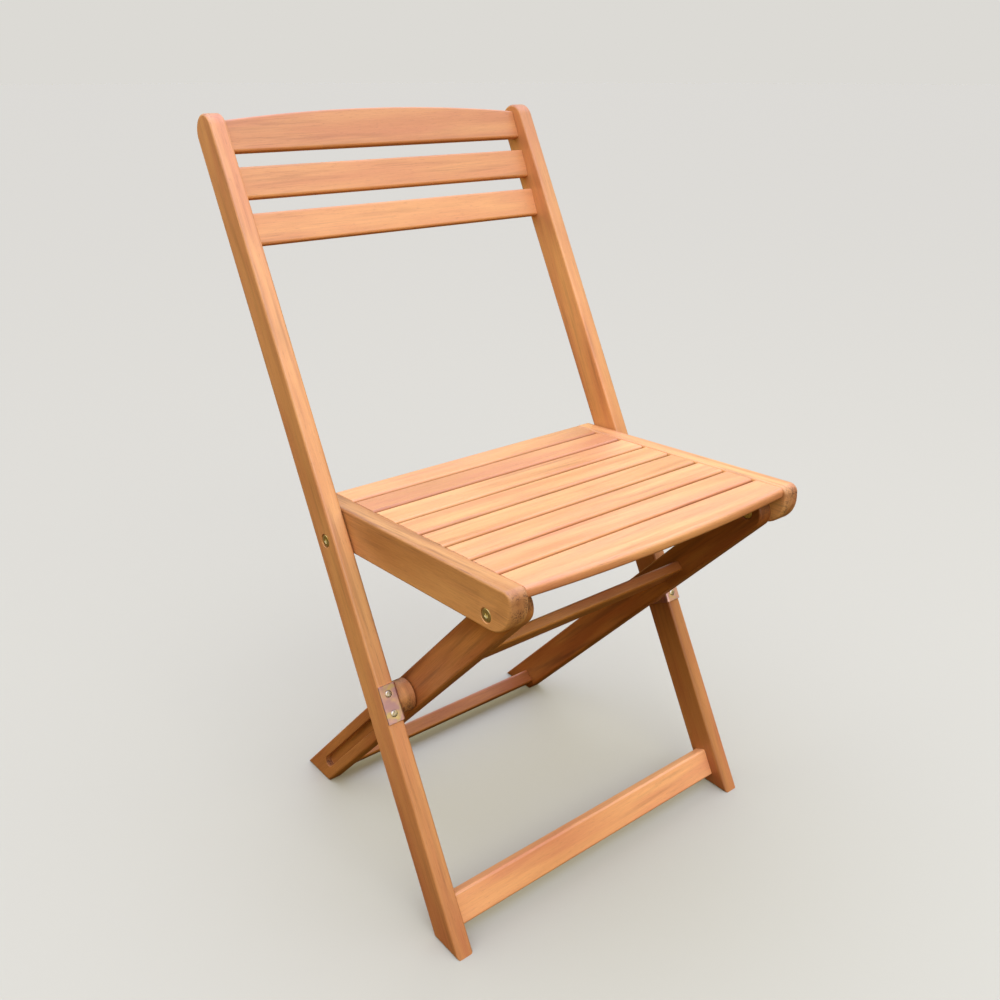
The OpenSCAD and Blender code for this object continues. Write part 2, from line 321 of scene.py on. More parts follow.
# %% Store the grain, the end grain and the tone of each stick
ALONG = {"x": Matrix.Rotation(math.radians(-90), 3, "Y"),
         "y": Matrix.Rotation(math.radians(90), 3, "X"),
         "z": Matrix.Identity(3)}
SLOPE = 1.6           # most that a trunk leans away from a stick, in degrees
HEART_MM = (60, 130)  # distances from the heart of the tree at which sticks are sawn


def drift(letter, low, high, *values):
    """A tone that runs through these values from low to high along one axis."""
    def value(point):
        share = (getattr(point, letter) - low) / (high - low) * (len(values) - 1)
        share = min(max(share, 0), len(values) - 1.001)
        step = int(share)
        return values[step] + (values[step + 1] - values[step]) * (share - step)
    return value


def grain(piece, place, axis, seed, tone=0.0, blush=0.0):
    """axis is the letter of the frame's axis that the fibres follow. tone makes the stick
    lighter or darker, and blush makes it redder or more golden. Each is a number, about
    -1 to 1, or a function of the point in the stick's own frame."""
    draw = random.Random(seed)
    to_stick = place.inverted()
    turn = Matrix.Rotation(math.radians(draw.uniform(-SLOPE, SLOPE)), 3, "X") @ \
        Matrix.Rotation(math.radians(draw.uniform(-SLOPE, SLOPE)), 3, "Y") @ \
        Matrix.Rotation(math.radians(draw.uniform(0, 360)), 3, "Z") @ ALONG[axis]
    spot = Vector((draw.uniform(*HEART_MM), draw.uniform(-40, 40), draw.uniform(-4000, 4000)))
    mesh = piece.data
    tree = mesh.attributes.new("tree", "FLOAT_VECTOR", "POINT")
    for vertex, item in zip(mesh.vertices, tree.data):
        item.vector = turn @ (to_stick @ vertex.co / MM) + spot
    fibre = place.to_3x3() @ Vector([float(axis == letter) for letter in "xyz"])
    ends = mesh.attributes.new("end", "FLOAT", "CORNER")
    for normal, item in zip(mesh.corner_normals, ends.data):
        item.value = abs(normal.vector.dot(fibre))
    for label, value in (("tone", tone), ("blush", blush)):
        column = mesh.attributes.new(label, "FLOAT", "POINT")
        for vertex, item in zip(mesh.vertices, column.data):
            item.value = value(to_stick @ vertex.co / MM) if callable(value) else value


# %% Give a finished piece its material and its body, and hide the node it stands for
made = []


def fit(piece, node, material):
    """Gives a piece this material and the body of this node, and hides the node, whose place it takes."""
    piece.data.materials.clear()
    piece.data.materials.append(material)
    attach(piece, body_of_node[node])
    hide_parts(node)
    made.append(piece)


# %% [markdown]
# ## Oiled hardwood
#
# The sticks are a light tropical hardwood of the kind sold for garden chairs, planed, sanded
# and oiled. Oil gives it a satin shine and a warm, even colour, with soft streaks a few
# millimetres wide, short dark pores and a slow drift between golden and rosy patches. One
# recipe makes all the wood here, and each use of it gets its own colours. Pores are really
# about 0.2 mm wide, which is too fine to show, so they are drawn about 0.75 mm wide, and the
# groups of pores on end grain about 1.7 mm wide.

# %% Colour from a hex value, and one way to add a node
def srgb(code):
    """A hex colour as painters give it, turned to the linear values that shaders use."""
    channels = [int(code[i:i + 2], 16) / 255 for i in (1, 3, 5)]
    return (*[c / 12.92 if c <= 0.04045 else ((c + 0.055) / 1.055) ** 2.4
              for c in channels], 1.0)


def add(tree, kind, inputs=None, **settings):
    """Adds a node. Settings are its own values, and each input is a value or an output."""
    node = tree.nodes.new(kind)
    for name, value in settings.items():
        setattr(node, name, value)
    for key, value in (inputs or {}).items():
        if isinstance(value, bpy.types.NodeSocket):
            tree.links.new(value, node.inputs[key])
        else:
            node.inputs[key].default_value = value
    return node


def new_material(name):
    material = bpy.data.materials.new(name)
    material.use_nodes = True
    tree = material.node_tree
    tree.nodes.clear()
    shader = add(tree, "ShaderNodeBsdfPrincipled")
    add(tree, "ShaderNodeOutputMaterial", {"Surface": shader.outputs["BSDF"]})
    return material, tree, shader


# %% The wood recipe
BAND_MM = 12.0     # width of the soft bands between seasons of growth
LINE_MM = 1.5      # width of the dark lines that gather in some of the bands
FIBRE_MM = 0.9     # width of the finest streaks that show
PORE_MM = 0.75     # drawn width of a pore
DOT_MM = 1.7       # drawn width of a group of pores on end grain
PATCH_MM = 26.0    # width of the golden and rosy patches
STREAK_MM = 6.0    # width of the smoky streaks
WANDER_MM = 34.0   # how far the heart of the tree wanders
ROUGHNESS = 0.46   # of the oiled faces
COAT = 0.3         # strength of the shine of the oil


def wood(name, light, mid, dark, rosy, figure):
    """light and mid are the early and late growth, dark is the pores and end grain, rosy
    is the tint of the redder patches, and figure is the strength of the pattern."""
    material, tree, shader = new_material(name)
    place, end, tone, blush = (
        add(tree, "ShaderNodeAttribute", attribute_name=label).outputs[output]
        for label, output in (("tree", "Vector"), ("end", "Fac"), ("tone", "Fac"),
                              ("blush", "Fac")))

    def vector(operation, *inputs):
        node = add(tree, "ShaderNodeVectorMath", dict(enumerate(inputs)), operation=operation)
        return node.outputs["Value" if operation == "LENGTH" else "Vector"]

    def number(operation, *inputs):
        return add(tree, "ShaderNodeMath", dict(enumerate(inputs)),
                   operation=operation).outputs["Value"]

    def cloud(across, along, low, high, detail=2.0):
        """A soft pattern of cells this wide and this long in mm, from 0 to 1 between its
        values low and high."""
        cells = vector("MULTIPLY", place, (1 / across, 1 / across, 1 / along))
        value = add(tree, "ShaderNodeTexNoise", {"Vector": cells, "Scale": 1.0,
                    "Detail": detail, "Roughness": 0.55}).outputs["Fac"]
        return add(tree, "ShaderNodeMapRange", {"Value": value, "From Min": low,
                   "From Max": high}, interpolation_type="SMOOTHSTEP").outputs["Result"]

    def mixed(factor, first, second):
        return add(tree, "ShaderNodeMix", {"Factor": factor, "A": first,
                   "B": srgb(second)}, data_type="RGBA").outputs["Result"]

    # The heart of the tree wanders, so the bands are never straight.
    wander = add(tree, "ShaderNodeTexNoise", {"Vector": vector("MULTIPLY", place, (1 / 60,
                 1 / 60, 1 / 380)), "Scale": 1.0, "Detail": 2.0}).outputs["Color"]
    shift = vector("MULTIPLY", vector("SUBTRACT", wander, (0.5, 0.5, 0.5)),
                   (WANDER_MM, WANDER_MM, 0))
    heart = vector("LENGTH", vector("ADD", vector("MULTIPLY", place, (1, 1, 0)), shift))
    bands = add(tree, "ShaderNodeTexNoise", {"W": number("DIVIDE", heart, BAND_MM),
                "Scale": 1.0, "Detail": 1.4, "Roughness": 0.5}, noise_dimensions="1D")
    bands = add(tree, "ShaderNodeMapRange", {"Value": bands.outputs["Fac"],
                "From Min": 0.3, "From Max": 0.72}, interpolation_type="SMOOTHSTEP")
    fade = cloud(46, 150, 0.3, 0.75)
    bands = number("MULTIPLY", bands.outputs["Result"], number("MULTIPLY_ADD", fade, 0.6, 0.4))

    # Late growth is darker. Lines gather where the wood is dense, and fibres run all over.
    colour = mixed(number("MULTIPLY", bands, 0.85 * figure), srgb(light), mid)
    patches = cloud(PATCH_MM, 190, 0.34, 0.70)
    warm = add(tree, "ShaderNodeMath", {0: patches, 1: 0.7, 2: blush},
               operation="MULTIPLY_ADD", use_clamp=True).outputs["Value"]
    colour = mixed(warm, colour, rosy)
    streaks = number("MULTIPLY", cloud(STREAK_MM, 120, 0.46, 0.74), cloud(60, 200, 0.4, 0.6))
    colour = mixed(number("MULTIPLY", streaks, 0.36 * figure), colour, dark)
    lines = number("MULTIPLY", cloud(LINE_MM, 150, 0.52, 0.74, 3.0), cloud(26, 110, 0.44, 0.7))
    colour = mixed(number("MULTIPLY", lines, 0.42 * figure), colour, dark)
    fibres = cloud(FIBRE_MM, 34, 0.3, 0.75, 3.0)
    colour = mixed(number("MULTIPLY", fibres, 0.15 * figure), colour, dark)
    pores = cloud(PORE_MM, 9, 0.6, 0.76, 1.0)
    colour = mixed(number("MULTIPLY", pores, 0.24), colour, dark)

    # End grain drinks more oil, and its open pores show as dots.
    across = number("POWER", end, 2.0)
    colour = mixed(number("MULTIPLY", across, 0.42), colour, dark)
    dots = number("MULTIPLY", cloud(DOT_MM, 8, 0.5, 0.62, 1.0), cloud(16, 40, 0.35, 0.6))
    colour = mixed(number("MULTIPLY", dots, number("MULTIPLY", across, 0.75)), colour, "#30140A")

    # Darker wood of this kind is also redder and deeper in colour. The tone also carries painted light and shade,
    # which take the same turn.
    colour = add(tree, "ShaderNodeHueSaturation", {"Color": colour,
                 "Hue": number("MULTIPLY_ADD", tone, 0.003, 0.5),
                 "Saturation": number("MULTIPLY_ADD", tone, -0.025, 1.0),
                 "Value": number("MULTIPLY_ADD", tone, 0.22, 1.0)}).outputs["Color"]
    tree.links.new(colour, shader.inputs["Base Color"])

    # Satin oil: the pores stay open and dull, and the rest has a soft shine.
    dull = add(tree, "ShaderNodeMapRange", {"Value": fibres, "To Min": ROUGHNESS - 0.05,
               "To Max": ROUGHNESS + 0.09}).outputs["Result"]
    dull = number("MULTIPLY_ADD", across, 0.25, dull)
    tree.links.new(dull, shader.inputs["Roughness"])
    tree.links.new(number("MULTIPLY_ADD", across, -0.25, COAT), shader.inputs["Coat Weight"])
    bump = add(tree, "ShaderNodeBump", {"Height": number("MULTIPLY_ADD", pores, -1.0, fibres),
               "Strength": 0.3, "Distance": 0.15 * MM})
    tree.links.new(bump.outputs["Normal"], shader.inputs["Normal"])
    shader.inputs["IOR"].default_value = 1.48
    shader.inputs["Coat Roughness"].default_value = 0.35
    return material


frame_wood = wood("oiled hardwood, frame", "#DEA05A", "#BE7A3E", "#6A3A16", "#C87E4A",
                  figure=0.8)
rail_wood = wood("oiled hardwood, rails", "#E6A960", "#BE783A", "#683818", "#D68E56",
                 figure=1.3)
back_wood = wood("oiled hardwood, back slats", "#DE9F5E", "#C47F46", "#7A4520", "#D08854",
                 figure=0.75)
seat_wood = wood("oiled hardwood, seat", "#E6A964", "#C27C40", "#7A421C", "#D8905C",
                 figure=0.8)
leg_wood = wood("oiled hardwood, rear legs", "#BC7A38", "#8C4C1A", "#40200A", "#9E5424",
                figure=1.2)

# %% [markdown]
# ## Stiles
#
# A stile is a 20 by 40 mm stick with a half-round top, cut at its foot to lie flat on the
# ground. Its side view is two chains of points, one up the front and one up the back, that
# meet at the top. The mortises are cut to the tenons of the pieces that they hold, so the
# joints close as they do on the bench, and the bolt heads sit in counterbores.

# %% Chains of points for a side view
def run(start, end, count, keep_end=False):
    """Evenly spaced points from start towards end."""
    a, b = Vector(start), Vector(end)
    return [tuple(a.lerp(b, i / count)) for i in range(count + keep_end)]


def arc(centre, radius, start, end, steps, keep_end=False):
    """Points on an arc between two angles, in degrees."""
    turns = [math.radians(start + (end - start) * i / steps) for i in range(steps + keep_end)]
    return [(centre[0] + radius * math.cos(a), centre[1] + radius * math.sin(a))
            for a in turns]


# %% Layers across the chair, and the shapes of joints and bores
SIDES = {"left": -1, "right": 1}
SLACK = 0.1        # clearance all round a tenon
SHOULDER = 5.0     # how far a tenon is set in from the wider sides of its bar
TENON_HALF = 3.0   # half the thickness of a tenon
SHANK_R, SLEEVE_R, HEAD_R, HEAD_T = 3.0, 4.0, 7.0, 2.5
SEAT_R, SEAT_DEPTH = 7.5, 3.0  # counterbore for a bolt head or nut head
AIR = 0.03         # gap under a head, so that the stick can turn
x_out, x_in = stile_high.x, stile_low.x
rail_out, rail_in = rail_high.x, rail_low.x
leg_out, leg_in = leg_high.x, leg_low.x


def tenon_in(low, high):
    """The (y0, y1, z0, z1) of the tenon on a bar with these corners."""
    mid, deep, tall = (low + high) / 2, high.y - low.y, high.z - low.z
    half_y, half_z = ((TENON_HALF, tall / 2 - SHOULDER) if deep < tall
                      else (deep / 2 - SHOULDER, TENON_HALF))
    return mid.y - half_y, mid.y + half_y, mid.z - half_z, mid.z + half_z


def mortise(side, face, reach, sides, place):
    """A cutter for the tenon with these sides, from a face in to its reach."""
    y0, y1, z0, z1 = sides
    ends = sorted((side * (face - 1), side * (reach + 0.5)))
    return block("mortise", (ends[0], y0 - SLACK, z0 - SLACK),
                 (ends[1], y1 + SLACK, z1 + SLACK), place)


def bore(side, face, away, radius, place):
    """A cutter for a bolt hole, with a counterbore and an eased mouth at its face. away is
    the far face."""
    inward = math.copysign(1, away - face)
    steps = [(-1, 0), (-1, SEAT_R + 0.7), (-0.1, SEAT_R + 0.7), (0.5, SEAT_R),
             (SEAT_DEPTH, SEAT_R), (SEAT_DEPTH, radius)]
    profile = [(side * (face + inward * d), r) for d, r in steps]
    profile += [(side * (away + inward), radius), (side * (away + inward), 0)]
    return lathe("bore", profile, place)


# %% The bars that the stiles hold: their sizes come first, because they set the mortises
back_bars = {n: span(f"back_slat_{n}", on_back) for n in ("bottom", "middle", "top")}
plain_w, arched_w = (back_bars[n][1].z - back_bars[n][0].z for n in ("bottom", "top"))
arch_rise = arched_w - plain_w
back_bars["top"][1].z -= arch_rise
front_bar = span("front_stretcher", on_stile)
stile_reach = front_bar[1].x
print("back slats", round(plain_w, 1), "mm wide, arch", round(arch_rise, 1), "mm")

# %% Stiles
LONG_STEPS, ROUND_STEPS = 48, 12  # points along a stile, and round a quarter turn
# The lightness along each stile mixes the wood's own drift with painted light and shade. Painted shade makes the
# feet darker and redder, most on the right stile below the seat, and painted light makes the upper parts lighter.
stile_tones_and_shade = {  # lightness, then redness, from the foot to the crown
    "left": ((-0.8, -0.3, 0.4, 0.5, 0.1, 0.6, 0.8, 1.1), (0.4, 0.3, 0.1, 0, 0, 0.1, 0.1, 0.2)),
    "right": ((-0.8, -0.9, -1.35, -0.8, 0.1, 0.6, 0.3, 0), (0.4, 0.3, 0.3, 0.2, 0.1, 0, 0, 0.1))}
# On the right stile the inner face takes more of that lightness than the outer face, so its painted shade below
# the seat is deeper there.
inner_shade_share = {"left": (1, 1), "right": (1.7, 0.2)}  # of that lightness, inner to outer face
half_d = stile_high.y
crown = stile_high.z - half_d
foot = [(-seat_pivot.z / MM + y * math.sin(lean)) / math.cos(lean) for y in (-half_d, half_d)]
front_chain = run((-half_d, foot[0]), (-half_d, crown), LONG_STEPS) + \
    arc((0, crown), half_d, 180, 90, ROUND_STEPS)
back_chain = run((half_d, foot[1]), (half_d, crown), LONG_STEPS) + \
    arc((0, crown), half_d, 0, 90, ROUND_STEPS)
for name, side in SIDES.items():
    stile = plate(f"{name}_stile_timber", back_chain, front_chain, (0, crown + half_d),
                  sorted((side * x_in, side * x_out)), on_stile)
    cutters = [mortise(side, x_in, stile_reach, tenon_in(*size), on_back)
               for size in back_bars.values()]
    cutters.append(mortise(side, x_in, stile_reach, tenon_in(*front_bar), on_stile))
    cutters.append(bore(side, x_out, x_in, SHANK_R, on_stile))
    cut(stile, cutters)
    smooth(stile)
    down, blush = (drift("z", foot[0], crown, *values) for values in stile_tones_and_shade[name])
    inner = drift("x", side * x_in, side * x_out, *inner_shade_share[name])
    grain(stile, on_stile, "z", f"{name} stile", lambda p: down(p) * inner(p), blush)
    fit(stile, f"{name}_stile", frame_wood)
print("stile:", len(stile.data.polygons), "faces")

# %% [markdown]
# ## Back slats and front stretcher
#
# Three slats join the tops of the stiles, in a plane that leans back a little further than
# the stiles do. The top slat has an arched upper edge. Each slat is one bar whose section
# may change along its length, so the arch needs no cutting. The stretcher by the feet is
# the same kind of bar, only thicker.

# %% Sections that swell in the middle
def swell(x, x_end, rise):
    """Height at x of an arc that rises this far over the middle of a bar."""
    radius = (x_end ** 2 + rise ** 2) / (2 * rise)
    return math.sqrt(radius ** 2 - x ** 2) - (radius - rise)


def straight(low, high):
    return lambda x: (low.y, high.y, low.z, high.z)


# %% Back slats and stretcher
back_tones = {"bottom": (0.5, -0.05), "middle": (0.2, 0.0), "top": (-0.2, 0.15)}
front_tones, front_blush = (1.4, 0.5, 1.4, 1.8), 0.45  # of the stretcher, left to right
for which, (low, high) in back_bars.items():
    shape = straight(low, high)
    if which == "top":
        def shape(x, low=low, high=high):
            return low.y, high.y, low.z, high.z + swell(x, x_in, arch_rise)
    slat = bar(f"back_slat_{which}_timber", x_in, shape,
               (stile_reach, *tenon_in(low, high)), on_back)
    smooth(slat)
    grain(slat, on_back, "x", f"back slat {which}", *back_tones[which])
    fit(slat, f"back_slat_{which}", back_wood)

stretcher = bar("front_stretcher_timber", x_in, straight(*front_bar),
                (stile_reach, *tenon_in(*front_bar)), on_stile)
smooth(stretcher)
grain(stretcher, on_stile, "x", "front stretcher", drift("x", -x_in, x_in, *front_tones),
      front_blush)
fit(stretcher, "front_stretcher", frame_wood)

# %% [markdown]
# ## Seat
#
# Two rails carry eight slats. The rails end in a rounded nose, with a small radius above and
# a large one below, where the cut crosses the fibres and shows dark end grain. The slats are
# not cut from one board, so each has a tone of its own. Their sides in the gaps and their
# undersides are darker than their tops: painted shade. The first slat swells forward.

# %% Rails
NOSE_TOP_R, NOSE_LOW_R, TAIL_R = 10, 33, 8  # rounding of the ends of a rail, in mm
BORE_SLACK = 0.05  # clearance of a sleeve in its bore
RAIL_STEPS, TAIL_STEPS = 18, 5
rail_tones = {"left": ((0.1, 0.1, -1), -0.4), "right": ((0.3, 0.3), 0.0)}  # from under up
slats = {k: span(f"seat_slat_{k}", on_seat) for k in range(1, 9)}
slat_w = slats[2][1].y - slats[2][0].y
bow_rise = slats[1][1].y - slats[1][0].y - slat_w
slats[1][0].y += bow_rise
rail_reach = slats[1][1].x
nose, tail, under, over = rail_low.y, rail_high.y, rail_low.z, rail_high.z
top_chain = arc((tail - TAIL_R, over - TAIL_R), TAIL_R, 0, 90, TAIL_STEPS) + \
    run((tail - TAIL_R, over), (nose + NOSE_TOP_R, over), RAIL_STEPS) + \
    arc((nose + NOSE_TOP_R, over - NOSE_TOP_R), NOSE_TOP_R, 90, 180, ROUND_STEPS, True)
low_chain = arc((tail - TAIL_R, under + TAIL_R), TAIL_R, 0, -90, TAIL_STEPS) + \
    run((tail - TAIL_R, under), (nose + NOSE_LOW_R, under), RAIL_STEPS) + \
    arc((nose + NOSE_LOW_R, under + NOSE_LOW_R), NOSE_LOW_R, -90, -180, ROUND_STEPS, True)
at_leg_pivot = on_seat @ Matrix.Translation(on_seat.inverted() @ leg_pivot)
for name, side in SIDES.items():
    rail = plate(f"{name}_rail_timber", top_chain, low_chain, None,
                 sorted((side * rail_in, side * rail_out)), on_seat)
    cutters = [mortise(side, rail_in, rail_reach, tenon_in(*size), on_seat)
               for size in slats.values()]
    cutters.append(bore(side, rail_in, rail_out, SLEEVE_R + BORE_SLACK, on_seat))
    cutters.append(bore(side, rail_out, rail_in, SHANK_R, at_leg_pivot))
    cut(rail, cutters)
    smooth(rail)
    values, blush = rail_tones[name]
    grain(rail, on_seat, "y", f"{name} rail", drift("z", under, over, *values), blush)
    fit(rail, f"{name}_rail", rail_wood)
print("rail:", len(rail.data.polygons), "faces")

# %% Seat slats
# Each slat's lightness is its own tone. The lighter middle of slat 2 is the exception: it is a painted sheen.
seat_tones_and_sheen = {  # lightness from left to right, and redness, of each slat
    1: ((0.4, 0.4, 0.4, 0.3, 0.2), 0.1), 2: ((0.1, 0.2, 0.6, 0.3, -0.2), 0.1),
    3: ((0.4, 0.1, 0.2, 0.2, 0.4), -0.1), 4: ((0.0, 0.2, 0.1, -0.1, -0.5), -0.1),
    5: ((0.0, 0.0, -0.1, 0.3, -0.1), -0.2), 6: ((0.2, 0.3, -0.2, -0.3, 0.7), -0.2),
    7: ((-0.5, -0.8, -0.4, -0.2, -0.5), 0.4), 8: ((0.5, 0.2, 0.2, -0.2, -0.9), 0.1)}
# Painted shade: the darkening on the sides of the slats in the gaps and on their undersides, and a lighter one on
# the front of the first slat.
PAINTED_GAP_SHADE, PAINTED_FRONT_SHADE = -2.8, -0.6  # lightness in the gaps, and on the front edge
BOW_ARRIS = 4.5  # rounding of the upper front edge of the first slat
for k, (low, high) in slats.items():
    shape, radii = straight(low, high), (ARRIS,) * 4
    if k == 1:
        radii = (ARRIS, BOW_ARRIS, ARRIS, ARRIS)

        def shape(x, low=low, high=high):
            return low.y - swell(x, rail_in, bow_rise), high.y, low.z, high.z
    slat = bar(f"seat_slat_{k}_timber", rail_in, shape, (rail_reach, *tenon_in(low, high)),
               on_seat, radii)
    smooth(slat)
    across = drift("x", -rail_in, rail_in, *seat_tones_and_sheen[k][0])
    # Painted shade: each slat darkens towards its underside, and the front of the first slat is darkened less at
    # mid-height.
    down = drift("z", low.z, high.z, PAINTED_GAP_SHADE, PAINTED_FRONT_SHADE if k == 1 else PAINTED_GAP_SHADE, 0)
    grain(slat, on_seat, "x", f"seat slat {k}", lambda p: across(p) + down(p),
          seat_tones_and_sheen[k][1])
    fit(slat, f"seat_slat_{k}", seat_wood)

# %% [markdown]
# ## Rear legs
#
# The rear legs hinge under the nose of the seat. Each has a groove in its outer face, cut
# with a round router bit, and the pin on its stile rides in it. The groove starts where the
# pin sits in the open chair and ends where it sits in the folded one. Two stretchers join the
# legs.

# %% Rear legs, with grooves
GROOVE_R, GROOVE_DEPTH, GROOVE_SPARE, GROOVE_STEPS = 7.0, 8.0, 4.0, 24
LEG_STEPS = 28
half_leg = leg_high.z
reach_open = (guide - leg_pivot).length / MM
reach_folded = ((leg_pivot - seat_pivot).length + (seat_pivot - guide).length) / MM


def groove_cutter(side):
    """A slot with round ends and an eased mouth, in the outer face of a leg."""
    rings = []
    for d, ease in ((GROOVE_DEPTH, -0.4), (GROOVE_DEPTH - 0.4, 0), (0.5, 0), (-0.2, 0.7),
                    (-1, 0.7)):
        r = GROOVE_R + ease
        loop = arc((reach_open, 0), r, 90, 270, GROOVE_STEPS, True) + \
            arc((reach_folded + GROOVE_SPARE, 0), r, -90, 90, GROOVE_STEPS, True)
        rings.append([(side * (leg_out - d), y, z) for y, z in loop])
    size = len(rings[0])
    last = (len(rings) - 1) * size
    faces = bridge(rings) + [tuple(range(size)), tuple(range(last, last + size))]
    return make_object("groove", [p for ring in rings for p in ring], faces, on_leg)


# The right rear leg is made darker than the left. This is painted shade for the shade it stands in under the seat.
leg_tones_and_shade = {"left": (0.7, 0.0), "right": (-0.8, 0.1)}
# Lightness from left to right. On the upper stretcher the lighter left part is painted light, and it darkens
# towards its right end. The lower stretcher is darker all along.
stretcher_tones_and_light = {"upper": (0.6, 0.8, 1.2, 0.4, 0, -0.8), "lower": (-0.6, -0.9, -0.5)}
stretchers = {n: span(f"{n}_rear_stretcher", on_leg) for n in ("upper", "lower")}
leg_reach = stretchers["upper"][1].x
sole = [(leg_pivot.z / MM + z * math.cos(leg_slope)) / math.sin(leg_slope)
        for z in (half_leg, -half_leg)]
upper_chain = run((sole[0], half_leg), (0, half_leg), LEG_STEPS) + \
    arc((0, 0), half_leg, 90, 180, ROUND_STEPS)
lower_chain = run((sole[1], -half_leg), (0, -half_leg), LEG_STEPS) + \
    arc((0, 0), half_leg, -90, -180, ROUND_STEPS)
for name, side in SIDES.items():
    leg = plate(f"{name}_rear_leg_timber", upper_chain, lower_chain, (-half_leg, 0),
                sorted((side * leg_in, side * leg_out)), on_leg)
    cutters = [mortise(side, leg_in, leg_reach, tenon_in(*size), on_leg)
               for size in stretchers.values()]
    cutters += [bore(side, leg_in, leg_out, SLEEVE_R + BORE_SLACK, on_leg), groove_cutter(side)]
    cut(leg, cutters)
    smooth(leg)
    grain(leg, on_leg, "y", f"{name} rear leg", *leg_tones_and_shade[name])
    fit(leg, f"{name}_rear_leg", leg_wood)

for which, (low, high) in stretchers.items():
    piece = bar(f"{which}_rear_stretcher_timber", leg_in, straight(low, high),
                (leg_reach, *tenon_in(low, high)), on_leg)
    smooth(piece)
    tone = drift("x", -leg_in, leg_in, *stretcher_tones_and_light[which])
    grain(piece, on_leg, "x", f"{which} rear stretcher", tone)
    fit(piece, f"{which}_rear_stretcher", leg_wood)
print("leg:", len(leg.data.polygons), "faces")

# %% [markdown]
# ## Fittings
#
# The pivots are furniture bolts with a hexagon socket, screwed into sleeve nuts. They are
# steel with a yellow passivated zinc plating that looks like dull brass. The guide brackets
# are folded from 2 mm sheet and have the same plating, seen here as a mix of rose, violet
# and straw, because the film is thin enough to split the light. The bracket screws are plain
# bright zinc with a cross recess. Metal keeps the default IOR.

# %% Plated steel
def plated(name, base, second, third, roughness, patch_mm):
    """Zinc-plated steel whose thin coloured film drifts between three tints."""
    material, tree, shader = new_material(name)
    where = add(tree, "ShaderNodeTexCoord").outputs["Object"]
    cells = add(tree, "ShaderNodeVectorMath", {0: where, "Scale": 1 / (patch_mm * MM)},
                operation="SCALE").outputs["Vector"]
    film = add(tree, "ShaderNodeTexNoise", {"Vector": cells, "Scale": 1.0, "Detail": 2.0})
    first = add(tree, "ShaderNodeMapRange", {"Value": film.outputs["Fac"],
                "From Min": 0.36, "From Max": 0.60}, interpolation_type="SMOOTHSTEP")
    later = add(tree, "ShaderNodeTexNoise", {"Vector": cells, "Scale": 1.3, "Detail": 1.0,
                "Distortion": 0.2})
    later = add(tree, "ShaderNodeMapRange", {"Value": later.outputs["Fac"],
                "From Min": 0.46, "From Max": 0.72}, interpolation_type="SMOOTHSTEP")
    colour = add(tree, "ShaderNodeMix", {"Factor": first.outputs["Result"],
                 "A": srgb(base), "B": srgb(second)}, data_type="RGBA")
    colour = add(tree, "ShaderNodeMix", {"Factor": later.outputs["Result"],
                 "A": colour.outputs["Result"], "B": srgb(third)}, data_type="RGBA")
    tree.links.new(colour.outputs["Result"], shader.inputs["Base Color"])
    fine = add(tree, "ShaderNodeTexNoise", {"Vector": where, "Scale": 2200.0, "Detail": 2.0})
    dull = add(tree, "ShaderNodeMapRange", {"Value": fine.outputs["Fac"],
               "To Min": roughness - 0.08, "To Max": roughness + 0.12})
    tree.links.new(dull.outputs["Result"], shader.inputs["Roughness"])
    bump = add(tree, "ShaderNodeBump", {"Height": fine.outputs["Fac"], "Strength": 0.12,
               "Distance": 0.05 * MM})
    tree.links.new(bump.outputs["Normal"], shader.inputs["Normal"])
    shader.inputs["Metallic"].default_value = 1.0
    return material


zinc = plated("yellow passivated zinc, film", "#D8B0A6", "#BE9AA6", "#D4BE8C", 0.42, 14)
brass = plated("yellow passivated zinc, dull brass", "#F0E2A8", "#D8C888", "#E8E2B0", 0.40, 4)
bright = plated("bright zinc screws", "#C6BCAE", "#B4AA98", "#D2CAB8", 0.36, 3)

# %% Bolts, sleeve nuts and washers
SOCKET_R, SOCKET_DEPTH = 2.5, 1.6  # half the width across the flats of the socket
WASHER_R, WASHER_HOLE_R, WASHER_EASE = 11.0, 4.2, 0.2


def head(face, inward):
    """Profile of a head whose outer face is at face, from its socket to its underside."""
    steps = [(SOCKET_DEPTH + 0.5, 0), (SOCKET_DEPTH, SOCKET_R * 0.9, 6), (0.35, SOCKET_R, 6),
             (0.05, SOCKET_R + 0.45), (0, SOCKET_R + 0.9), (0, HEAD_R - 1.1),
             (0.18, HEAD_R - 0.5), (0.6, HEAD_R - 0.1), (1.0, HEAD_R), (HEAD_T - AIR, HEAD_R)]
    return [(face + inward * step[0], *step[1:]) for step in steps]


def flip(profile, side):
    """The same profile on that side of the chair."""
    return [(side * x, *rest) for x, *rest in profile]


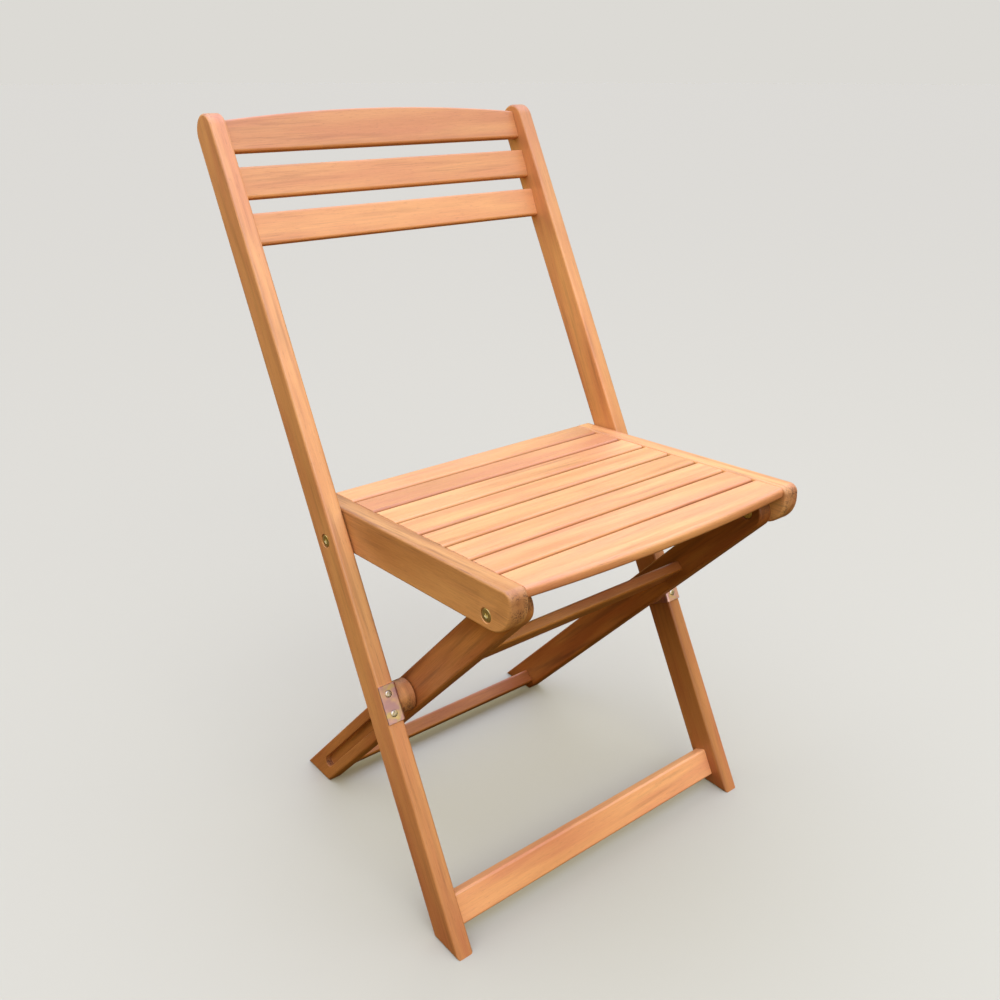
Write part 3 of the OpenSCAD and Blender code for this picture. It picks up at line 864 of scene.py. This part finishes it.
def pivot_set(kind, side, name, outer, inner, gap, place):
    """A bolt from the outer stick into a sleeve nut in the inner one, and the washer in
    the gap. outer and inner are (outer face, inner face) of the two sticks."""
    face = outer[0] - SEAT_DEPTH + HEAD_T
    tip = inner[1] + SEAT_DEPTH + 1
    bolt = head(face, -1) + [(face - HEAD_T + AIR, SHANK_R), (tip + 0.5, SHANK_R),
                             (tip, SHANK_R - 0.5), (tip, 0)]
    face = inner[1] + SEAT_DEPTH - HEAD_T
    end = outer[1]
    nut = head(face, 1) + [(face + HEAD_T - AIR, SLEEVE_R), (end - 0.4, SLEEVE_R),
                           (end, SLEEVE_R - 0.4), (end, SHANK_R), (tip - 0.4, SHANK_R),
                           (tip - 0.4, 0)]
    half = [(WASHER_EASE, WASHER_R), (0, WASHER_R - WASHER_EASE),
            (0, WASHER_HOLE_R + WASHER_EASE), (WASHER_EASE, WASHER_HOLE_R)]
    washer = [(gap[0] + x, r) for x, r in half] + [(gap[1] - x, r) for x, r in half[::-1]]
    for part, profile, finish, closed in (("bolt", bolt, brass, False),
                                          ("nut", nut, brass, False),
                                          ("washer", washer, zinc, True)):
        piece = lathe(f"{name}_{kind}_{part}_turned", flip(profile, side), place, closed)
        smooth(piece)
        fit(piece, f"{name}_{kind}_{part}", finish)


for name, side in SIDES.items():
    pivot_set("seat", side, name, (x_out, x_in), (rail_out, rail_in), (rail_out, x_in),
              on_seat)
    pivot_set("leg", side, name, (rail_out, rail_in), (leg_out, leg_in), (leg_out, rail_in),
              at_leg_pivot)

# %% Guide brackets, screws, pins and spacers
guide_z = (on_stile.inverted() @ guide).z / MM
at_guide = on_stile @ Matrix.Translation((0, 0, guide_z * MM))
bend_low, bend_high = span("right_bracket", at_guide)
SHEET, BEND_OUT, BEND_IN = x_in - bend_low.x, 3.4, 1.4
PIN_R, SPACER_R = 6.0, 18.5
SCREW_R, SCREW_HEAD_R, SCREW_IN, SCREW_INSET = 2.0, 4.0, 16.0, 10.0
CROSS, CROSS_DEPTH = ((2.5, 0.6), (0.6, 2.5)), 1.1  # half sizes of the arms of the recess
COUNTERSINK = 0.6  # how much wider than the head its seat in the bracket is


def bracket(name, side):
    """An angle folded round the arris of the stile, as a strip with rounded edges."""
    front, back, inner = bend_low.y, bend_high.y, bend_low.x
    strip = [(x_out, front)] + arc((inner + BEND_OUT, front + BEND_OUT), BEND_OUT, -90, -180,
                                   8, True)
    strip += [(inner, back), (inner + SHEET, back)]
    strip += arc((inner + SHEET + BEND_IN, front + SHEET + BEND_IN), BEND_IN, 180, 270, 6,
                 True) + [(x_out, front + SHEET)]
    rings = [[(side * x, y, z) for x, y in strip] for z in (bend_low.z, bend_high.z)]
    size = len(strip)
    faces = bridge(rings) + [tuple(range(size)), tuple(range(size, 2 * size))]
    piece = make_object(f"{name}_bracket_folded", [p for r in rings for p in r], faces,
                        at_guide)
    ease = piece.modifiers.new("ease", "BEVEL")
    ease.width, ease.segments, ease.limit_method = 0.35 * MM, 2, "ANGLE"
    ease.angle_limit = math.radians(50)
    return piece


def screw_frame(side, up):
    """X of this frame points out of the bracket."""
    spot = Vector((side * (x_in + (x_out - x_in) / 2), bend_low.y,
                   up * (bend_high.z - SCREW_INSET)))
    return at_guide @ Matrix.Translation(spot * MM) @ Matrix.Rotation(-math.pi / 2, 4, "Z")


screw_profile = [(0.4, 0), (0.4, 1.2), (0.36, 2.2), (0.28, 3.0), (0.12, 3.6),
                 (-0.05, SCREW_HEAD_R - 0.1), (-0.25, SCREW_HEAD_R - 0.1), (-SHEET, SCREW_R),
                 (-SCREW_IN + 3, SCREW_R), (-SCREW_IN, 0.2), (-SCREW_IN, 0)]
pin_ends = span("right_guide_pin", at_guide)
pin_profile = [(pin_ends[0].x, 0), (pin_ends[0].x, PIN_R - 0.6), (pin_ends[0].x + 0.5, PIN_R),
               (x_in, PIN_R), (x_in, 0)]
spacer_ends = span("right_spacer", at_guide)
low_x, high_x = spacer_ends[0].x, spacer_ends[1].x
spacer_profile = [(low_x, PIN_R), (low_x, SPACER_R - 1.8), (low_x + 0.5, SPACER_R - 0.7),
                  (low_x + 1.6, SPACER_R), (high_x - 0.8, SPACER_R), (high_x, SPACER_R - 0.8),
                  (high_x, PIN_R)]
mouth = SCREW_HEAD_R + COUNTERSINK
screw_hole = [(1, 0), (1, mouth + 1), (0, mouth), (-SHEET - 1, SCREW_R - 1), (-SHEET - 1, 0)]
pin_hole = [(x_in + 1, 0), (x_in + 1, PIN_R), (bend_low.x - 1, PIN_R), (bend_low.x - 1, 0)]
for name, side in SIDES.items():
    folded = bracket(name, side)
    holes = [lathe("hole", screw_hole, screw_frame(side, up)) for up in (1, -1)]
    holes.append(lathe("hole", flip(pin_hole, side), at_guide))
    cut(folded, holes)
    smooth(folded, sharp_over=50)
    fit(folded, f"{name}_bracket", zinc)
    for up, label in ((1, "upper"), (-1, "lower")):
        place = screw_frame(side, up)
        screw = lathe(f"{name}_screw_{label}_turned", screw_profile, place, turns=48)
        turned = Matrix.Rotation(math.radians(20 + 30 * up), 4, "X")
        blades = [block("blade", (-CROSS_DEPTH, -w, -t), (2, w, t), place @ turned)
                  for w, t in CROSS]
        cut(screw, blades)
        smooth(screw)
        fit(screw, f"{name}_screw_{label}", bright)
    pin = lathe(f"{name}_guide_pin_turned", flip(pin_profile, side), at_guide)
    smooth(pin)
    fit(pin, f"{name}_guide_pin", zinc)
    spacer = lathe(f"{name}_spacer_turned", flip(spacer_profile, side), at_guide, True)
    smooth(spacer)
    fibres = at_guide @ Matrix.Rotation(math.radians(-25), 4, "X")
    # The spacer is made much lighter than the leg wood it shares. This is painted light on its rim.
    grain(spacer, fibres, "z", f"{name} spacer", tone=2.4)
    fit(spacer, f"{name}_spacer", leg_wood)
print("pieces made:", len(made), "of", len(frame["nodes"]))

# %% [markdown]
# ## Studio
#
# The chair stands on a plain pale floor that runs on to a backdrop of its own colour, so no
# horizon shows from any side. The light is a soft dome: bluish white overhead, warm near the
# ground and dark below its rim, with one weaker lamp in front. The floor looks pale, but it
# throws back only a little warm light, as grass or earth would, so that the undersides stay
# deep in tone. The light path node does this: rays from the camera see the pale colours of
# the floor and the sky, and all other rays meet the darker or stronger ones that light the
# chair. It is used on these two only, and on no piece of the chair.

# %% Floor
FLOOR_R, FLOOR_SIDES = 60.0, 96  # metres, and sides of the disc
BOUNCE, SEEN = "#4E3A10", "#B8B496"  # what the floor throws back, and how it looks
rim = [(FLOOR_R * math.cos(math.tau * k / FLOOR_SIDES),
        FLOOR_R * math.sin(math.tau * k / FLOOR_SIDES), 0.0) for k in range(FLOOR_SIDES)]
mesh = bpy.data.meshes.new("floor")
mesh.from_pydata(rim, [], [tuple(range(FLOOR_SIDES))])
floor = bpy.data.objects.new("floor", mesh)
scene.collection.objects.link(floor)
paper, tree, shader = new_material("pale studio paper")
seen = add(tree, "ShaderNodeLightPath").outputs["Is Camera Ray"]
shade = add(tree, "ShaderNodeMix", {"Factor": seen, "A": srgb(BOUNCE), "B": srgb(SEEN)},
            data_type="RGBA")
tree.links.new(shade.outputs["Result"], shader.inputs["Base Color"])
shader.inputs["Roughness"].default_value = 1.0
shader.inputs["Specular IOR Level"].default_value = 0.0
floor.data.materials.append(paper)


# %% Lamps and sky
def softbox(name, spot, aim, size, watts, tint):
    """A flat lamp at a spot, aimed at a point. Lengths are in metres."""
    lamp = bpy.data.lights.new(name, "AREA")
    lamp.shape, lamp.size, lamp.size_y = "RECTANGLE", size[0], size[1]
    lamp.energy, lamp.color = watts, srgb(tint)[:3]
    holder = bpy.data.objects.new(name, lamp)
    scene.collection.objects.link(holder)
    holder.location = spot
    holder.rotation_euler = (Vector(aim) - Vector(spot)).to_track_quat("-Z", "Y").to_euler()


softbox("front lamp", (-0.6, -2.6, 2.4), (0, 0, 0.4), (2.0, 2.0), 38, "#EAF0FF")
world = bpy.data.worlds.new("studio")
scene.world = world
world.use_nodes = True
sky = world.node_tree
facing = add(sky, "ShaderNodeTexCoord").outputs["Generated"]
height = add(sky, "ShaderNodeSeparateXYZ", {"Vector": facing}).outputs["Z"]
tint = add(sky, "ShaderNodeValToRGB", {"Fac": height})
stops = ((0.13, "#2C1E06"), (0.2, "#AC9C30"), (0.95, "#B4BFFF"))  # by height, 0 to 1
ramp = tint.color_ramp.elements
while len(ramp) < len(stops):
    ramp.new(1.0)
for stop, (at, code) in zip(ramp, stops):
    stop.position, stop.color = at, srgb(code)
light = add(sky, "ShaderNodeBackground", {"Color": tint.outputs["Color"], "Strength": 3.5})
plain = add(sky, "ShaderNodeBackground", {"Color": srgb("#DCDAD5"), "Strength": 1.0})
seen = add(sky, "ShaderNodeLightPath").outputs["Is Camera Ray"]
both = add(sky, "ShaderNodeMixShader", {0: seen, 1: light.outputs[0], 2: plain.outputs[0]})
sky.links.new(both.outputs[0], sky.nodes["World Output"].inputs["Surface"])
scene.view_settings.view_transform = "Standard"

# %% [markdown]
# ## Camera
#
# The chair is seen from its left front, with the camera held a little under a metre above
# the ground: 38 degrees round from straight in front, and looking down by 21 degrees. The
# lens is a little wide, as on a phone.

# %% Camera
lens = bpy.data.cameras.new("camera")
lens.lens, lens.sensor_width = 37.12, 36.0
lens.shift_x, lens.shift_y = 0.0126, -0.037
camera = bpy.data.objects.new("camera", lens)
scene.collection.objects.link(camera)
camera.location = (-0.7253, -0.8791, 0.8926)
aim = Vector((0, 0.0348, 0.4430))
camera.rotation_euler = (aim - camera.location).to_track_quat("-Z", "Y").to_euler()
scene.camera = camera
